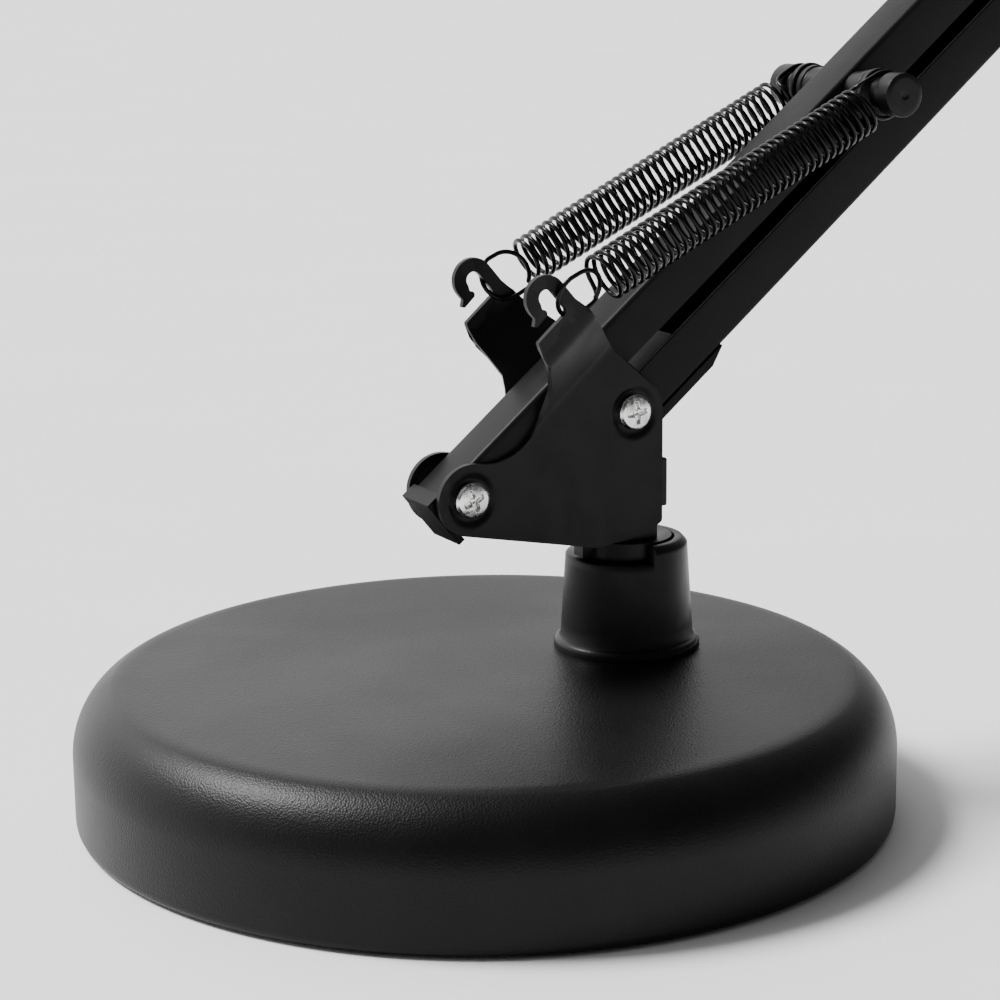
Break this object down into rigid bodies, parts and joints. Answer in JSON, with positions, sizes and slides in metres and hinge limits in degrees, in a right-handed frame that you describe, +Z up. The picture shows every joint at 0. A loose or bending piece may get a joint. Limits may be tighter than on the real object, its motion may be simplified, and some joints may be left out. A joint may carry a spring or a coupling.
{
  "type": "architect desk lamp",
  "caption": "Spring-balanced two-arm desk lamp on a heavy round base, with a swivelling pivot bracket, parallelogram channel arms and a tilting bell shade.",
  "frame": {"origin": "centre of the round base on the surface it stands on", "axes": "+Z up; the arms move in the XZ plane and the lower arm leans towards +X"},
  "size_m": [0.4288, 0.19, 0.5888],
  "materials": {
    "base_texture": "fine pebbled matte black",
    "iron": "raw cast",
    "pad": "matte foam rubber",
    "zinc": "bright zinc plated",
    "socket_black": "satin moulded",
    "nylon": "natural nylon",
    "satin_black": "satin powder coat",
    "plug_black": "moulded satin",
    "spring_black": "gloss black electro-coat",
    "dark_steel": "blackened",
    "shade_black": "satin powder coat",
    "ceramic": "phenolic white",
    "brass": "plated",
    "bulb": "opal",
    "button_black": "gloss"
  },
  "bodies": {
    "base": {"base_cover": "base_texture", "ballast_weight": "iron", "foot_pad": "pad", "base_screws": "zinc", "pivot_socket": "socket_black", "socket_screw": "zinc", "swivel_bushing": "nylon"},
    "turret": {"bracket": "satin_black", "swivel_block": "plug_black", "block_rivets": "dark_steel", "bracket_screws": "zinc", "bracket_nuts": "zinc"},
    "lower_arm": {"lower_channel": "satin_black", "lower_foot_plug": "plug_black", "lower_top_plug": "plug_black", "lower_spring_pin": "dark_steel", "lower_pin_spools": "plug_black"},
    "lower_link": {"lower_link_channel": "satin_black", "lower_link_foot_plug": "plug_black", "lower_link_top_plug": "plug_black"},
    "lower_springs": {"lower_spring_left": "spring_black", "lower_spring_right": "spring_black"},
    "lower_spring_ends": {"lower_tail_left": "spring_black", "lower_tail_right": "spring_black"},
    "elbow": {"elbow_plate_left": "satin_black", "elbow_plate_right": "satin_black", "elbow_spacer": "dark_steel", "elbow_screws": "zinc", "elbow_nuts": "zinc"},
    "upper_arm": {"upper_channel": "satin_black", "upper_foot_plug": "plug_black", "upper_top_plug": "plug_black", "upper_spring_pin": "dark_steel", "upper_pin_spools": "plug_black"},
    "upper_link": {"upper_link_channel": "satin_black", "upper_link_foot_plug": "plug_black", "upper_link_top_plug": "plug_black"},
    "upper_springs": {"upper_spring_left": "spring_black", "upper_spring_right": "spring_black"},
    "upper_spring_ends": {"upper_tail_left": "spring_black", "upper_tail_right": "spring_black"},
    "yoke": {"yoke_plate_left": "satin_black", "yoke_plate_right": "satin_black", "yoke_screws": "zinc", "yoke_nuts": "zinc", "tilt_bolt": "zinc", "tilt_washers": "nylon"},
    "knob": {"tilt_knob": "plug_black"},
    "neck": {"tilt_knuckle": "plug_black", "stem_nut": "zinc"},
    "head": {"head_cap": "socket_black", "lamp_housing": "shade_black", "shade": "shade_black", "lampholder": "ceramic", "bulb_base": "brass", "bulb_glass": "bulb", "cord_gland": "plug_black"},
    "switch": {"switch_button": "button_black"}
  },
  "joints": [
    {"name": "base_swivel", "type": "hinge", "parent": "base", "child": "turret", "pos_m": [0.0387, 0, 0.0588], "axis": [0, 0, 1], "range_deg": [-145, 75]},
    {"name": "lower_arm_hinge", "type": "hinge", "parent": "turret", "child": "lower_arm", "pos_m": [-0.007, 0, 0.0743], "axis": [0, -1, 0], "range_deg": [-4, 50]},
    {"name": "lower_link_hinge", "type": "hinge", "parent": "turret", "child": "lower_link", "pos_m": [0.03592, 0, 0.09001], "axis": [0, -1, 0], "range_deg": [-5, 51]},
    {"name": "elbow_hinge", "type": "hinge", "parent": "lower_arm", "child": "elbow", "pos_m": [0.28054, 0, 0.30715], "axis": [0, -1, 0], "range_deg": [-51, 5]},
    {"name": "lower_spring_swing", "type": "hinge", "parent": "turret", "child": "lower_springs", "pos_m": [0.01056, 0, 0.11786], "axis": [0, -1, 0], "range_deg": [-8, 76]},
    {"name": "lower_spring_stretch", "type": "slide", "parent": "lower_springs", "child": "lower_spring_ends", "axis": [0.9016, 0, 0.4326], "range_m": [-0.01, 0.005], "deforming": ["lower_spring_left", "lower_spring_right", "lower_tail_left", "lower_tail_right"]},
    {"name": "upper_arm_hinge", "type": "hinge", "parent": "elbow", "child": "upper_arm", "pos_m": [0.29254, 0, 0.34115], "axis": [0, -1, 0], "range_deg": [-8, 42]},
    {"name": "upper_link_hinge", "type": "hinge", "parent": "elbow", "child": "upper_link", "pos_m": [0.29602, 0, 0.36085], "axis": [0, -1, 0], "range_deg": [-9, 43]},
    {"name": "yoke_hinge", "type": "hinge", "parent": "upper_arm", "child": "yoke", "pos_m": [0.03209, 0, 0.5597], "axis": [0, -1, 0], "range_deg": [-43, 9]},
    {"name": "upper_spring_swing", "type": "hinge", "parent": "elbow", "child": "upper_springs", "pos_m": [0.27499, 0, 0.3847], "axis": [0, -1, 0], "range_deg": [-12, 52]},
    {"name": "upper_spring_stretch", "type": "slide", "parent": "upper_springs", "child": "upper_spring_ends", "axis": [-0.8911, 0, 0.4538], "range_m": [-0.01, 0.035], "deforming": ["upper_spring_left", "upper_spring_right", "upper_tail_left", "upper_tail_right"]},
    {"name": "head_tilt", "type": "hinge", "parent": "yoke", "child": "neck", "pos_m": [0.00609, 0, 0.5477], "axis": [0, -1, 0], "range_deg": [-65, 20]},
    {"name": "head_swivel", "type": "hinge", "parent": "neck", "child": "head", "pos_m": [0.00609, 0, 0.5477], "axis": [0, 0, 1], "range_deg": [-150, 150]},
    {"name": "knob_turn", "type": "hinge", "parent": "yoke", "child": "knob", "pos_m": [0.00609, -0.016, 0.5477], "axis": [0, -1, 0], "continuous": true},
    {"name": "switch_press", "type": "slide", "parent": "head", "child": "switch", "axis": [1, 0, 0], "range_m": [0, 0.002], "stiffness_N_per_m": 300}
  ],
  "couplings": [
    {"joint": "lower_link_hinge", "follows": "lower_arm_hinge", "ratio": 1},
    {"joint": "elbow_hinge", "follows": "lower_arm_hinge", "ratio": -1},
    {"joint": "lower_spring_swing", "follows": "lower_arm_hinge", "ratio": 1.472},
    {"joint": "lower_spring_stretch", "follows": "lower_arm_hinge", "m_per_rad": -0.00455},
    {"joint": "upper_link_hinge", "follows": "upper_arm_hinge", "ratio": 1},
    {"joint": "yoke_hinge", "follows": "upper_arm_hinge", "ratio": -1},
    {"joint": "upper_spring_swing", "follows": "upper_arm_hinge", "ratio": 1.167},
    {"joint": "upper_spring_stretch", "follows": "upper_arm_hinge", "m_per_rad": 0.04189}
  ]
}
